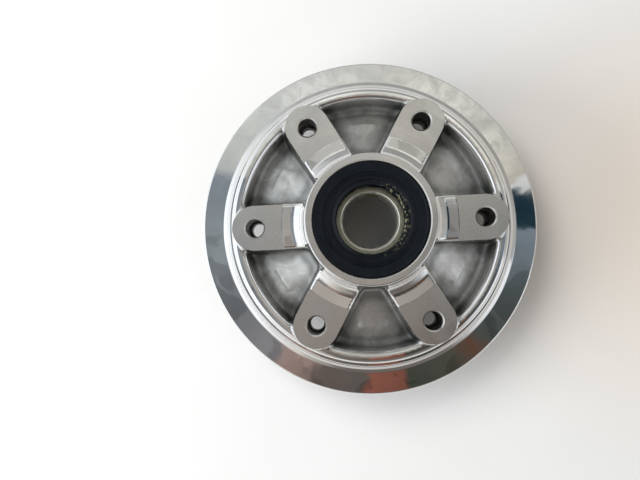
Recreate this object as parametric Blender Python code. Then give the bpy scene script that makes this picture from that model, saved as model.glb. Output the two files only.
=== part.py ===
"""Sprocket carrier of a cush-drive motorcycle wheel, with its bearing and oil seal.

The hub axis is world Z. The rear spigot stands on z = 0 and the sprocket side faces +Z. The first of
the six arms points along +X. All lengths are in metres.
"""

import math

import bmesh
import bpy
from mathutils import Vector

MM = 0.001
GAP = 0.3 * MM  # clearance left between pieces that touch on the real object

# Heights of the casting, counted from the rear face of the spigot.
LUG_FACE_Z = 46 * MM
PAD_Z = LUG_FACE_Z + 3 * MM
BOSS_TOP_Z = LUG_FACE_Z + 18.6 * MM
RING_TOP_Z = LUG_FACE_Z - 4 * MM
RING_STEP_Z = LUG_FACE_Z - 10 * MM
FLANGE_FRONT_Z = LUG_FACE_Z - 17 * MM
FLANGE_REAR_Z = LUG_FACE_Z - 25 * MM
PLATE_REAR_Z = LUG_FACE_Z - 20.5 * MM
RECESS_Z = LUG_FACE_Z - 15 * MM
FLOOR_INNER_Z = LUG_FACE_Z - 5 * MM
FLOOR_OUTER_Z = LUG_FACE_Z - 16 * MM
VANE_REAR_Z = 1 * MM

# Radii of the casting.
FLANGE_R = 99 * MM
LIP_INNER_R = 91.5 * MM
RING_STEP_R = 81.6 * MM
RING_CROWN_R = 79.4 * MM
POCKET_OUTER_R = 72.7 * MM
POCKET_FLOOR_R = 70.5 * MM
RECESS_OUTER_R = 59 * MM
PAD_R = 49 * MM
BOSS_R = 35.3 * MM
BOSS_FOOT_R = 36.4 * MM
SPIGOT_R = 35.5 * MM
SPIGOT_BORE_R = 26.5 * MM

# Fillets, chamfers and drafts of the casting.
BOSS_FILLET = 0.9 * MM
BOSS_FOOT_FILLET = 4 * MM
POCKET_FILLET = 3.5 * MM
RING_INNER_FILLET = 1.4 * MM
RING_OUTER_FILLET = 2.4 * MM
RING_STEP_FILLET = 0.5 * MM
RING_DRAFT = 0.3 * MM
FLANGE_FOOT_FILLET = 5.5 * MM
FLANGE_FOOT_DRAFT = 0.6 * MM
RIM_FRONT_FILLET = 1 * MM
RIM_REAR_FILLET = 0.8 * MM
RECESS_FILLET = 2 * MM
RECESS_SLOPE = 2 * MM
SEAL_BORE_CHAMFER = 0.7 * MM
SPIGOT_CHAMFER = 1.2 * MM
SPIGOT_BORE_CHAMFER = 1 * MM

# The six arms, their bolt holes, and the six driving vanes behind the pockets.
ARM_COUNT = 6
BOLT_CIRCLE_R = 65 * MM
ARM_HALF_WIDTH = 12.75 * MM
ARM_INNER_R = 32.5 * MM
ARM_FOOT_DEPTH = 4 * MM  # how far the arm blank reaches below the inner edge of the pocket floor
PAD_RISE = 11 * MM  # height of the sweep from the pad up to the boss
PAD_SWEEP_FILLET = 8.5 * MM
PAD_EDGE_FILLET = 1.2 * MM
PAD_EDGE_DRAFT = 0.3 * MM
OVERLAP = 2 * MM  # how far arms and vanes reach into the plate that they stand on
BOLT_HOLE_R = 5.25 * MM
BOLT_HOLE_CHAMFER = 0.8 * MM
PILOT_HOLE_R = 4 * MM
BOLT_HOLE_DEPTH = 13 * MM
BOLT_HOLE_CONE = 1 * MM
BOLT_HOLE_STEPS = 16
VANE_HALF_WIDTH = 6 * MM
VANE_INNER_R = 43 * MM
VANE_OUTER_R = 84 * MM
VANE_TAPER = 1 * MM
VANE_INNER_FILLET = 2 * MM
VANE_OUTER_FILLET = 3 * MM

# Ball bearing, 30 x 62 x 16 mm with nine balls.
BEARING_BORE_R = 15 * MM
BEARING_OUTER_R = 31 * MM
BEARING_WIDTH = 16 * MM
BEARING_BEVEL = 0.9 * MM
BALL_COUNT = 9
BALL_R = 9.525 / 2 * MM
BALL_CIRCLE_R = 23 * MM
SHOULDER_OFFSET = 4.25 * MM  # from the ball circle to the race shoulders
BEARING_FRONT_Z = LUG_FACE_Z + 9.2 * MM
BEARING_Z = BEARING_FRONT_Z - BEARING_WIDTH / 2
HOUSING_R = BEARING_OUTER_R + GAP

# Ball cage: two pressed halves joined by rivets.
CAGE_THICK = 0.9 * MM
CAGE_INNER_R = 20.8 * MM
CAGE_OUTER_R = 25.2 * MM
CAGE_SPLIT = GAP / 2
RIVET_SHANK_R = 0.7 * MM
RIVET_HEAD_R = 1.4 * MM
RIVET_HEAD_HEIGHT = 0.6 * MM

# Retaining ring, oil seal 35 x 62 x 6 mm, and the O-ring on the spigot.
CIRCLIP_THICK = 2 * MM
CIRCLIP_Z = BEARING_FRONT_Z + GAP
CIRCLIP_OUTER_R = 32.3 * MM
CIRCLIP_INNER_R = 28.8 * MM
CIRCLIP_GROOVE_R = CIRCLIP_OUTER_R + GAP
CIRCLIP_HALF_GAP = 14  # degrees
CIRCLIP_EAR_END = 23  # degrees
CIRCLIP_EAR_SLOPE = 4  # degrees
CIRCLIP_EAR_R = CIRCLIP_INNER_R - 3 * MM
CIRCLIP_EYE_CIRCLE_R = CIRCLIP_EAR_R + 2.4 * MM
CIRCLIP_EYE_R = 1.25 * MM
SEAL_REAR_Z = CIRCLIP_Z + CIRCLIP_THICK + 2 * GAP
SEAL_WIDTH = 6 * MM
SEAL_TOP_Z = SEAL_REAR_Z + SEAL_WIDTH
SEAL_OUTER_R = 31 * MM
SEAL_SKIN = 0.8 * MM
CASE_THICK = 0.9 * MM
CASE_INNER_R = 22 * MM
SEAL_RIB_DEPTH = 0.4 * MM
SEAL_GROOVE_CIRCLES = (28.6 * MM, 24.9 * MM)
SEAL_GROOVE_HALF = 0.8 * MM
SEAL_FACE_INNER_R = 21.8 * MM
SEAL_VALLEY_R = 20.6 * MM
SEAL_VALLEY_DEPTH = 1.1 * MM
DUST_LIP_R = 18.6 * MM
DUST_LIP_DEPTH = 0.5 * MM
LIP_ROOT_R = 19.2 * MM
LIP_ROOT_DEPTH = 1.9 * MM
LIP_R = 18.3 * MM
LIP_FLARE = 0.9 * MM
SEAL_ROOT_DEPTH = 2.4 * MM
GARTER_CIRCLE_R = 20.35 * MM
GARTER_R = 0.75 * MM
GARTER_Z = SEAL_REAR_Z + 2.1 * MM
O_RING_R = 1.5 * MM
O_RING_CIRCLE_R = 35 * MM
O_RING_Z = 7 * MM
O_RING_GROOVE_HALF = O_RING_R + 0.4 * MM
O_RING_GROOVE_R = O_RING_CIRCLE_R - O_RING_R - GAP

CASTING_STEPS = 48
BEARING_STEPS = 36
SEAL_STEPS = 30
ARC_STEP = math.radians(45)

MATERIALS = {
    "cast_aluminium": ((0.80, 0.81, 0.82), 0.14, 1.0),
    "bearing_steel": ((0.62, 0.61, 0.56), 0.22, 1.0),
    "ball_steel": ((0.75, 0.76, 0.77), 0.06, 1.0),
    "cage_steel": ((0.55, 0.53, 0.49), 0.35, 1.0),
    "spring_steel": ((0.20, 0.20, 0.21), 0.35, 1.0),
    "seal_rubber": ((0.015, 0.016, 0.018), 0.45, 0.0),
}


def clear_scene():
    for obj in list(bpy.data.objects):
        bpy.data.objects.remove(obj, do_unlink=True)


def material(name):
    """The Principled material of this name, made on first use."""
    found = bpy.data.materials.get(name)
    if found:
        return found
    colour, roughness, metallic = MATERIALS[name]
    made = bpy.data.materials.new(name)
    made.use_nodes = True
    shader = made.node_tree.nodes["Principled BSDF"]
    shader.inputs["Base Color"].default_value = (*colour, 1)
    shader.inputs["Roughness"].default_value = roughness
    shader.inputs["Metallic"].default_value = metallic
    return made


def rounded(corners):
    """A closed outline from (x, y, fillet radius) corners, each fillet drawn as an arc."""
    points = []
    for i, (x, y, radius) in enumerate(corners):
        corner = Vector((x, y))
        if not radius:
            points.append(corner)
            continue
        back = (Vector(corners[i - 1][:2]) - corner).normalized()
        ahead = (Vector(corners[(i + 1) % len(corners)][:2]) - corner).normalized()
        half = back.angle(ahead) / 2
        centre = corner + (back + ahead).normalized() * radius / math.sin(half)
        first = corner + back * radius / math.tan(half) - centre
        last = corner + ahead * radius / math.tan(half) - centre
        turn = -first.angle_signed(last)
        steps = math.ceil(abs(turn) / ARC_STEP)
        for k in range(steps + 1):
            angle = turn * k / steps
            cos, sin = math.cos(angle), math.sin(angle)
            swung = Vector((first.x * cos - first.y * sin, first.x * sin + first.y * cos))
            points.append(centre + swung)
    return points


def arc(centre, radius, start, end, steps):
    """Points on an arc from start to end degrees."""
    angles = [math.radians(start + (end - start) * k / steps) for k in range(steps + 1)]
    return [Vector(centre) + radius * Vector((math.cos(a), math.sin(a))) for a in angles]


def mesh_from(name, bm):
    """A mesh with outward normals from a finished bmesh."""
    bmesh.ops.remove_doubles(bm, verts=bm.verts, dist=0.001 * MM)
    bmesh.ops.recalc_face_normals(bm, faces=bm.faces)
    mesh = bpy.data.meshes.new(name)
    bm.to_mesh(mesh)
    bm.free()
    mesh.shade_smooth()
    mesh.set_sharp_from_angle(angle=math.radians(35))
    return mesh


def turned(name, outline, steps):
    """A ring turned about Z from a closed outline of (radius, height) points."""
    bm = bmesh.new()
    verts = [bm.verts.new((point.x, 0, point.y)) for point in outline]
    edges = [bm.edges.new((verts[i - 1], verts[i])) for i in range(len(verts))]
    bmesh.ops.spin(
        bm, geom=verts + edges, cent=(0, 0, 0), axis=(0, 0, 1), angle=math.tau, steps=steps, use_merge=True
    )
    return mesh_from(name, bm)


def prisms(name, outline, low, high, angles):
    """Copies of a closed plan outline, extruded from low to high and turned about Z by each angle."""
    bm = bmesh.new()
    for angle in angles:
        cos, sin = math.cos(angle), math.sin(angle)
        loops = []
        for z in (low, high):
            loops.append([bm.verts.new((p.x * cos - p.y * sin, p.x * sin + p.y * cos, z)) for p in outline])
        for i in range(len(outline)):
            bm.faces.new((loops[0][i - 1], loops[0][i], loops[1][i], loops[1][i - 1]))
        bm.faces.new(loops[0])
        bm.faces.new(loops[1])
    return mesh_from(name, bm)


def place(name, mesh, material_name, location=(0, 0, 0), parent=None):
    """A named piece, with its origin at location in its parent's frame."""
    obj = bpy.data.objects.new(name, mesh)
    if not mesh.materials:
        mesh.materials.append(material(material_name))
    obj.location = location
    obj.parent = parent
    bpy.context.collection.objects.link(obj)
    return obj


def helper(name, mesh):
    """A cutter or a blank that only shapes another object."""
    obj = bpy.data.objects.new(name, mesh)
    obj.hide_render = True
    obj.display_type = "WIRE"
    bpy.context.collection.objects.link(obj)
    return obj


def combine(obj, operation, other):
    modifier = obj.modifiers.new(f"{operation.lower()}_{other.name}", "BOOLEAN")
    modifier.operation = operation
    modifier.object = other
    modifier.solver = "EXACT"


def pivot(name, location, parent=None):
    """An empty on a joint's axis."""
    empty = bpy.data.objects.new(name, None)
    empty.empty_display_size = 5 * MM
    empty.location = location
    empty.parent = parent
    bpy.context.collection.objects.link(empty)
    return empty


def spaced(count, offset=0.0):
    return [math.tau * (i + offset) / count for i in range(count)]


def body_outline():
    """Section through the casting between two arms: boss, pocket floor, ring, flange and spigot."""
    bearing_rear_z = BEARING_FRONT_Z - BEARING_WIDTH - GAP
    circlip_front_z = CIRCLIP_Z + CIRCLIP_THICK + GAP
    return rounded([
        (HOUSING_R + SEAL_BORE_CHAMFER, BOSS_TOP_Z, 0),
        (BOSS_R, BOSS_TOP_Z, BOSS_FILLET),
        (BOSS_FOOT_R, FLOOR_INNER_Z, BOSS_FOOT_FILLET),
        (POCKET_FLOOR_R, FLOOR_OUTER_Z, POCKET_FILLET),
        (POCKET_OUTER_R, RING_TOP_Z, RING_INNER_FILLET),
        (RING_CROWN_R, RING_TOP_Z, RING_OUTER_FILLET),
        (RING_CROWN_R + RING_DRAFT, RING_STEP_Z, 0),
        (RING_STEP_R, RING_STEP_Z, RING_STEP_FILLET),
        (RING_STEP_R + FLANGE_FOOT_DRAFT, FLANGE_FRONT_Z, FLANGE_FOOT_FILLET),
        (FLANGE_R, FLANGE_FRONT_Z, RIM_FRONT_FILLET),
        (FLANGE_R, FLANGE_REAR_Z, RIM_REAR_FILLET),
        (LIP_INNER_R, FLANGE_REAR_Z, 0),
        (LIP_INNER_R, PLATE_REAR_Z, 0),
        (RECESS_OUTER_R, PLATE_REAR_Z, 0),
        (RECESS_OUTER_R - RECESS_SLOPE, RECESS_Z, RECESS_FILLET),
        (SPIGOT_R, RECESS_Z, RECESS_FILLET),
        (SPIGOT_R, O_RING_Z + O_RING_GROOVE_HALF, 0),
        (O_RING_GROOVE_R, O_RING_Z + O_RING_GROOVE_HALF, 0),
        (O_RING_GROOVE_R, O_RING_Z - O_RING_GROOVE_HALF, 0),
        (SPIGOT_R, O_RING_Z - O_RING_GROOVE_HALF, 0),
        (SPIGOT_R, SPIGOT_CHAMFER, 0),
        (SPIGOT_R - SPIGOT_CHAMFER, 0, 0),
        (SPIGOT_BORE_R + SPIGOT_BORE_CHAMFER, 0, 0),
        (SPIGOT_BORE_R, SPIGOT_BORE_CHAMFER, 0),
        (SPIGOT_BORE_R, bearing_rear_z, 0),
        (HOUSING_R, bearing_rear_z, 0),
        (HOUSING_R, CIRCLIP_Z - GAP, 0),
        (CIRCLIP_GROOVE_R, CIRCLIP_Z - GAP, 0),
        (CIRCLIP_GROOVE_R, circlip_front_z, 0),
        (HOUSING_R, circlip_front_z, 0),
        (HOUSING_R, BOSS_TOP_Z - SEAL_BORE_CHAMFER, 0),
    ])


def arm_section():
    """Section along an arm: its foot inside the floor, the lug face, the pad and the rise to the boss."""
    inner = ARM_INNER_R - OVERLAP / 4
    return rounded([
        (inner, FLOOR_INNER_Z - ARM_FOOT_DEPTH, 0),
        (inner, PAD_Z + PAD_RISE, 0),
        (BOSS_R - OVERLAP / 2, PAD_Z + PAD_RISE, 0),
        (BOSS_FOOT_R + OVERLAP / 2, PAD_Z, PAD_SWEEP_FILLET),
        (PAD_R, PAD_Z, PAD_EDGE_FILLET),
        (PAD_R + PAD_EDGE_DRAFT, LUG_FACE_Z, 0),
        (RING_CROWN_R, LUG_FACE_Z, 0),
        (RING_CROWN_R, PLATE_REAR_Z + OVERLAP, 0),
        (RECESS_OUTER_R + OVERLAP, PLATE_REAR_Z + OVERLAP, 0),
        (RECESS_OUTER_R, RECESS_Z + OVERLAP, 0),
    ])


def arm_plan():
    """Plan of an arm that ends in a half round about its bolt hole."""
    end = arc((BOLT_CIRCLE_R, 0), ARM_HALF_WIDTH, -90, 90, 12)
    return [Vector((ARM_INNER_R, -ARM_HALF_WIDTH)), *end, Vector((ARM_INNER_R, ARM_HALF_WIDTH))]


def vane_section():
    """Section along a vane, from the recess in the plate to its free end."""
    return rounded([
        (VANE_INNER_R, VANE_REAR_Z, VANE_INNER_FILLET),
        (VANE_OUTER_R, VANE_REAR_Z, VANE_OUTER_FILLET),
        (VANE_OUTER_R, PLATE_REAR_Z + OVERLAP, 0),
        (RECESS_OUTER_R + OVERLAP, PLATE_REAR_Z + OVERLAP, 0),
        (RECESS_OUTER_R, RECESS_Z + OVERLAP, 0),
        (VANE_INNER_R, RECESS_Z + OVERLAP, 0),
    ])


def vane_plan():
    """Plan of a vane, a little wider at its outer end, past both ends of the section."""
    inner, outer = VANE_INNER_R - 2 * OVERLAP, VANE_OUTER_R + 2 * OVERLAP
    return [
        Vector((inner, -VANE_HALF_WIDTH + VANE_TAPER)),
        Vector((outer, -VANE_HALF_WIDTH - VANE_TAPER)),
        Vector((outer, VANE_HALF_WIDTH + VANE_TAPER)),
        Vector((inner, VANE_HALF_WIDTH - VANE_TAPER)),
    ]


def bolt_hole_mesh():
    """Cutters for the six stepped holes, chamfered where they meet the lug faces."""
    levels = [
        (BOLT_HOLE_R + BOLT_HOLE_CHAMFER + OVERLAP, LUG_FACE_Z + OVERLAP),
        (BOLT_HOLE_R, LUG_FACE_Z - BOLT_HOLE_CHAMFER),
        (BOLT_HOLE_R, LUG_FACE_Z - BOLT_HOLE_DEPTH),
        (PILOT_HOLE_R, LUG_FACE_Z - BOLT_HOLE_DEPTH - BOLT_HOLE_CONE),
        (PILOT_HOLE_R, PLATE_REAR_Z - OVERLAP),
    ]
    bm = bmesh.new()
    for angle in spaced(ARM_COUNT):
        centre = Vector((BOLT_CIRCLE_R * math.cos(angle), BOLT_CIRCLE_R * math.sin(angle), 0))
        rings = []
        for radius, z in levels:
            rim = [(math.cos(a) * radius, math.sin(a) * radius, z) for a in spaced(BOLT_HOLE_STEPS)]
            rings.append([bm.verts.new(centre + Vector(p)) for p in rim])
        for upper, lower in zip(rings, rings[1:]):
            for i in range(BOLT_HOLE_STEPS):
                bm.faces.new((upper[i - 1], upper[i], lower[i], lower[i - 1]))
        bm.faces.new(rings[0])
        bm.faces.new(rings[-1])
    return mesh_from("bolt_holes", bm)


def make_casting():
    casting = place("carrier_casting", turned("casting", body_outline(), CASTING_STEPS), "cast_aluminium")
    arms = helper(
        "arm_blanks",
        prisms("arms", arm_plan(), FLANGE_REAR_Z, BOSS_TOP_Z, spaced(ARM_COUNT)),
    )
    combine(arms, "INTERSECT", helper("arm_envelope", turned("arm_envelope", arm_section(), CASTING_STEPS)))
    vanes = helper(
        "vane_blanks",
        prisms("vanes", vane_plan(), VANE_REAR_Z - OVERLAP, LUG_FACE_Z, spaced(ARM_COUNT, 0.5)),
    )
    combine(vanes, "INTERSECT", helper("vane_envelope", turned("vane_envelope", vane_section(), CASTING_STEPS)))
    combine(casting, "UNION", arms)
    combine(casting, "UNION", vanes)
    combine(casting, "DIFFERENCE", helper("bolt_hole_cutters", bolt_hole_mesh()))


def race_arc(side):
    """The groove of a race, on the inner (-1) or outer (+1) side of the ball circle."""
    radius = BALL_R + GAP
    reach = math.degrees(math.acos(SHOULDER_OFFSET / radius))
    middle = 0 if side > 0 else 180
    return arc((BALL_CIRCLE_R, BEARING_Z), radius, middle - reach, middle + reach, 4)


def inner_ring_outline():
    rear, front = BEARING_Z - BEARING_WIDTH / 2, BEARING_FRONT_Z
    shoulder = BALL_CIRCLE_R - SHOULDER_OFFSET
    return [
        Vector((shoulder, rear)),
        Vector((BEARING_BORE_R + BEARING_BEVEL, rear)),
        Vector((BEARING_BORE_R, rear + BEARING_BEVEL)),
        Vector((BEARING_BORE_R, front - BEARING_BEVEL)),
        Vector((BEARING_BORE_R + BEARING_BEVEL, front)),
        Vector((shoulder, front)),
        *race_arc(-1),
    ]


def outer_ring_outline():
    rear, front = BEARING_Z - BEARING_WIDTH / 2, BEARING_FRONT_Z
    shoulder = BALL_CIRCLE_R + SHOULDER_OFFSET
    return [
        Vector((shoulder, front)),
        Vector((BEARING_OUTER_R - BEARING_BEVEL, front)),
        Vector((BEARING_OUTER_R, front - BEARING_BEVEL)),
        Vector((BEARING_OUTER_R, rear + BEARING_BEVEL)),
        Vector((BEARING_OUTER_R - BEARING_BEVEL, rear)),
        Vector((shoulder, rear)),
        *race_arc(1),
    ]


def cage_half_mesh(side):
    """One wavy half of the cage: flat lands between the balls, round pockets over them."""
    pocket_inner = BALL_R + GAP
    pocket_outer = pocket_inner + CAGE_THICK
    heights = ((CAGE_SPLIT, pocket_inner), (CAGE_SPLIT + CAGE_THICK, pocket_outer))
    outer_land = math.sqrt(pocket_outer**2 - (CAGE_SPLIT + CAGE_THICK) ** 2)
    inner_land = math.sqrt(pocket_inner**2 - CAGE_SPLIT**2)
    curved = [inner_land * math.sin(math.radians(a)) for a in range(-90, 91, 30)]
    along = [-outer_land, *curved, outer_land]
    bm = bmesh.new()
    rings = []
    for ball_angle in spaced(BALL_COUNT):
        for s in along:
            angle = ball_angle + s / BALL_CIRCLE_R
            ring = []
            for level, radii in zip(heights, ((CAGE_INNER_R, CAGE_OUTER_R), (CAGE_OUTER_R, CAGE_INNER_R))):
                flat, pocket = level
                z = max(flat, math.sqrt(max(0.0, pocket**2 - s**2)))
                for r in radii:
                    ring.append(bm.verts.new((r * math.cos(angle), r * math.sin(angle), side * z)))
            rings.append(ring)
    for i, ring in enumerate(rings):
        before = rings[i - 1]
        for k in range(4):
            bm.faces.new((before[k - 1], before[k], ring[k], ring[k - 1]))
    return mesh_from("cage_half", bm)


def rivet_hole_mesh():
    """Cutters for the rivet holes in the lands of the cage, in the cage's own frame."""
    outline = arc((BALL_CIRCLE_R, 0), RIVET_SHANK_R + GAP, 0, 300, 5)
    return prisms("rivet_holes", outline, -OVERLAP, OVERLAP, spaced(BALL_COUNT, 0.5))


def rivet_mesh():
    """A rivet with a head on each side of the two cage halves."""
    grip = CAGE_SPLIT + CAGE_THICK + GAP
    top = grip + RIVET_HEAD_HEIGHT
    half = [(0, top), (RIVET_HEAD_R * 0.6, top), (RIVET_HEAD_R, grip), (RIVET_SHANK_R, grip)]
    outline = [Vector(p) for p in half] + [Vector((r, -z)) for r, z in reversed(half)]
    return turned("rivet", outline, 6)


def ball_mesh():
    bm = bmesh.new()
    bmesh.ops.create_uvsphere(bm, u_segments=12, v_segments=8, radius=BALL_R)
    return mesh_from("ball", bm)


def make_bearing():
    centre = (0, 0, BEARING_Z)
    place("bearing_outer_ring", turned("outer_ring", outer_ring_outline(), BEARING_STEPS), "bearing_steel")
    place("bearing_inner_ring", turned("inner_ring", inner_ring_outline(), BEARING_STEPS), "bearing_steel")
    cage = pivot("cage_axis", centre)
    holes = helper("rivet_hole_cutters", rivet_hole_mesh())
    holes.location = centre
    for name, side in (("cage_front", 1), ("cage_rear", -1)):
        half = place(name, cage_half_mesh(side), "cage_steel", parent=cage)
        combine(half, "DIFFERENCE", holes)
    ball, rivet = ball_mesh(), rivet_mesh()
    for i, angle in enumerate(spaced(BALL_COUNT)):
        spot = (BALL_CIRCLE_R * math.cos(angle), BALL_CIRCLE_R * math.sin(angle), 0)
        place(f"ball_{i + 1}", ball, "ball_steel", spot, cage)
    for i, angle in enumerate(spaced(BALL_COUNT, 0.5)):
        spot = (BALL_CIRCLE_R * math.cos(angle), BALL_CIRCLE_R * math.sin(angle), 0)
        place(f"cage_rivet_{i + 1}", rivet, "cage_steel", spot, cage)


def make_circlip():
    """Internal retaining ring: an open ring with an eye at each end."""
    start, end = CIRCLIP_HALF_GAP, CIRCLIP_EAR_END
    body_end = CIRCLIP_EAR_END + CIRCLIP_EAR_SLOPE
    outline = [
        *arc((0, 0), CIRCLIP_OUTER_R, start, 360 - start, 36),
        *arc((0, 0), CIRCLIP_EAR_R, 360 - start, 360 - end, 2),
        *arc((0, 0), CIRCLIP_INNER_R, 360 - body_end, body_end, 30),
        *arc((0, 0), CIRCLIP_EAR_R, end, start, 2),
    ]
    front = CIRCLIP_Z + CIRCLIP_THICK
    mesh = prisms("circlip", outline, CIRCLIP_Z, front, [0])
    circlip = place("bearing_circlip", mesh, "spring_steel")
    eye_turn = math.radians((start + end) / 2)
    eye = arc((CIRCLIP_EYE_CIRCLE_R, 0), CIRCLIP_EYE_R, 0, 315, 7)
    eyes = prisms("eyes", eye, CIRCLIP_Z - OVERLAP, front + OVERLAP, [eye_turn, -eye_turn])
    combine(circlip, "DIFFERENCE", helper("circlip_eye_cutters", eyes))


def seal_rubber_outline():
    """Rubber of the oil seal: outer skin, ribbed face, dust lip, main lip and garter groove."""
    skin_r = SEAL_OUTER_R - SEAL_SKIN
    skin_z = SEAL_TOP_Z - CASE_THICK
    rib, half = SEAL_RIB_DEPTH, SEAL_GROOVE_HALF
    face = [(skin_r, SEAL_REAR_Z), (SEAL_OUTER_R, SEAL_REAR_Z), (SEAL_OUTER_R, SEAL_TOP_Z - rib)]
    face.append((SEAL_OUTER_R - rib, SEAL_TOP_Z))
    for groove_r in SEAL_GROOVE_CIRCLES:
        face += [(groove_r + half, SEAL_TOP_Z), (groove_r + half - rib, SEAL_TOP_Z - rib)]
        face += [(groove_r - half + rib, SEAL_TOP_Z - rib), (groove_r - half, SEAL_TOP_Z)]
    lips = [
        (SEAL_FACE_INNER_R, SEAL_TOP_Z),
        (SEAL_VALLEY_R, SEAL_TOP_Z - SEAL_VALLEY_DEPTH),
        (DUST_LIP_R, SEAL_TOP_Z - DUST_LIP_DEPTH),
        (LIP_ROOT_R, SEAL_TOP_Z - LIP_ROOT_DEPTH),
        (LIP_R, GARTER_Z),
        (LIP_R + LIP_FLARE, SEAL_REAR_Z + LIP_FLARE),
    ]
    groove = arc((GARTER_CIRCLE_R, GARTER_Z), GARTER_R + GAP, 245, 100, 5)
    root_r = CASE_INNER_R - GAP
    root = [(root_r, SEAL_TOP_Z - SEAL_ROOT_DEPTH), (root_r, skin_z), (skin_r, skin_z)]
    return [Vector(p) for p in face + lips] + groove + [Vector(p) for p in root]


def seal_case_outline():
    """Steel stiffening ring of the seal, an L that lies just inside the rubber skin."""
    outer = SEAL_OUTER_R - SEAL_SKIN - GAP
    top = SEAL_TOP_Z - CASE_THICK - GAP
    corners = [
        (outer, SEAL_REAR_Z),
        (outer, top),
        (CASE_INNER_R, top),
        (CASE_INNER_R, top - CASE_THICK),
        (outer - CASE_THICK, top - CASE_THICK),
        (outer - CASE_THICK, SEAL_REAR_Z),
    ]
    return [Vector(p) for p in corners]


def make_seals():
    place("seal_rubber", turned("seal_rubber", seal_rubber_outline(), SEAL_STEPS), "seal_rubber")
    place("seal_case", turned("seal_case", seal_case_outline(), SEAL_STEPS), "spring_steel")
    garter = arc((GARTER_CIRCLE_R, GARTER_Z), GARTER_R, 0, 300, 5)
    place("garter_spring", turned("garter_spring", garter, SEAL_STEPS), "spring_steel")
    o_ring = arc((O_RING_CIRCLE_R, O_RING_Z), O_RING_R, 0, 315, 7)
    place("rear_o_ring", turned("rear_o_ring", o_ring, BEARING_STEPS), "seal_rubber")


def main():
    clear_scene()
    make_casting()
    make_bearing()
    make_circlip()
    make_seals()


main()
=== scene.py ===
import math

import bmesh
import bpy
import numpy as np
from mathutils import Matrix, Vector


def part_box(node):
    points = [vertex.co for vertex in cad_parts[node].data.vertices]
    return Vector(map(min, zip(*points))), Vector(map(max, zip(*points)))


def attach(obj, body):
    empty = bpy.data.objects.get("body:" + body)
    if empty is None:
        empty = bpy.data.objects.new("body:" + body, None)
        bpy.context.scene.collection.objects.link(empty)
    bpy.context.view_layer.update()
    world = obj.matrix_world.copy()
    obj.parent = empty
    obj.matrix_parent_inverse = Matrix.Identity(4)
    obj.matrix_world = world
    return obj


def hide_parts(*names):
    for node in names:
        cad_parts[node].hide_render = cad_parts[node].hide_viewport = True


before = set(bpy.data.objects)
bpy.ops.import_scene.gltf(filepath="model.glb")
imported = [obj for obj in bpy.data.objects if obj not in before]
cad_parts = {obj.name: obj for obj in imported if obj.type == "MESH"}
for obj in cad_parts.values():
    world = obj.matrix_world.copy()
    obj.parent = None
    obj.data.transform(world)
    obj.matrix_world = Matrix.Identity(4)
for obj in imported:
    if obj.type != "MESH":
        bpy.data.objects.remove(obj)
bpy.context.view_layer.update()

import openvdb
from mathutils import Euler, Vector, noise

MM = 0.001

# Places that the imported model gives.
CASTING_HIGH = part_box("carrier_casting")[1]
INNER_LOW, INNER_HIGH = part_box("bearing_inner_ring")
SEAL_LOW, SEAL_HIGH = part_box("seal_rubber")
CIRCLIP_LOW, CIRCLIP_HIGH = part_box("bearing_circlip")
GARTER_LOW, GARTER_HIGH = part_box("garter_spring")
O_RING_LOW, O_RING_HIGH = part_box("rear_o_ring")
FLANGE_R = CASTING_HIGH.x
BOSS_TOP_Z = CASTING_HIGH.z
BEARING_Z = (INNER_LOW.z + INNER_HIGH.z) / 2
SEAL_TOP_Z = SEAL_HIGH.z
SEAL_REAR_Z = SEAL_LOW.z

# Heights of the casting.
LUG_FACE_Z = BOSS_TOP_Z - 18.6 * MM
PAD_Z = LUG_FACE_Z + 3 * MM
RING_TOP_Z = LUG_FACE_Z - 4 * MM
RING_STEP_Z = LUG_FACE_Z - 10 * MM
FLANGE_FRONT_Z = LUG_FACE_Z - 17 * MM
FLANGE_REAR_Z = LUG_FACE_Z - 25 * MM
PLATE_REAR_Z = LUG_FACE_Z - 20.5 * MM
RECESS_Z = LUG_FACE_Z - 15 * MM
FLOOR_INNER_Z = LUG_FACE_Z - 5 * MM
FLOOR_OUTER_Z = LUG_FACE_Z - 16 * MM
VANE_REAR_Z = 1 * MM

# Radii of the casting.
LIP_INNER_R = 91.5 * MM
RING_STEP_R = 81.6 * MM
RING_CROWN_R = 79.4 * MM
POCKET_OUTER_R = 72.7 * MM
POCKET_FLOOR_R = 70.5 * MM
RECESS_OUTER_R = 59 * MM
PAD_R = 49 * MM
BOSS_R = 35.3 * MM
BOSS_FOOT_R = 36.4 * MM
SPIGOT_R = 35.5 * MM
SPIGOT_BORE_R = 26.5 * MM
HOUSING_R = SEAL_HIGH.x + 0.3 * MM
BOSS_RING_WIDTH = 5.5 * MM
BOSS_RING_HEIGHT = 3.6 * MM
WEB_OUTER_R = 89.5 * MM
PAST_AXIS = -5 * MM
TURNED_PROUD = 0.05 * MM
FACED_PROUD = 0.04 * MM
OVERLAP = 2 * MM

# Fillets of the casting's sections.
SPIGOT_FILLET = 1 * MM
RECESS_FILLET = 2.5 * MM
RECESS_EDGE = 0.8 * MM
CROWN_FILLET = 3 * MM
POCKET_EDGE = 2.7 * MM
POCKET_FILLET = 4 * MM
BOSS_FILLET = 5 * MM
STEP_FILLET = 5.5 * MM
PAD_SWEEP_FILLET = 8.5 * MM
PAD_SWEEP_HEIGHT = 11 * MM

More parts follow.
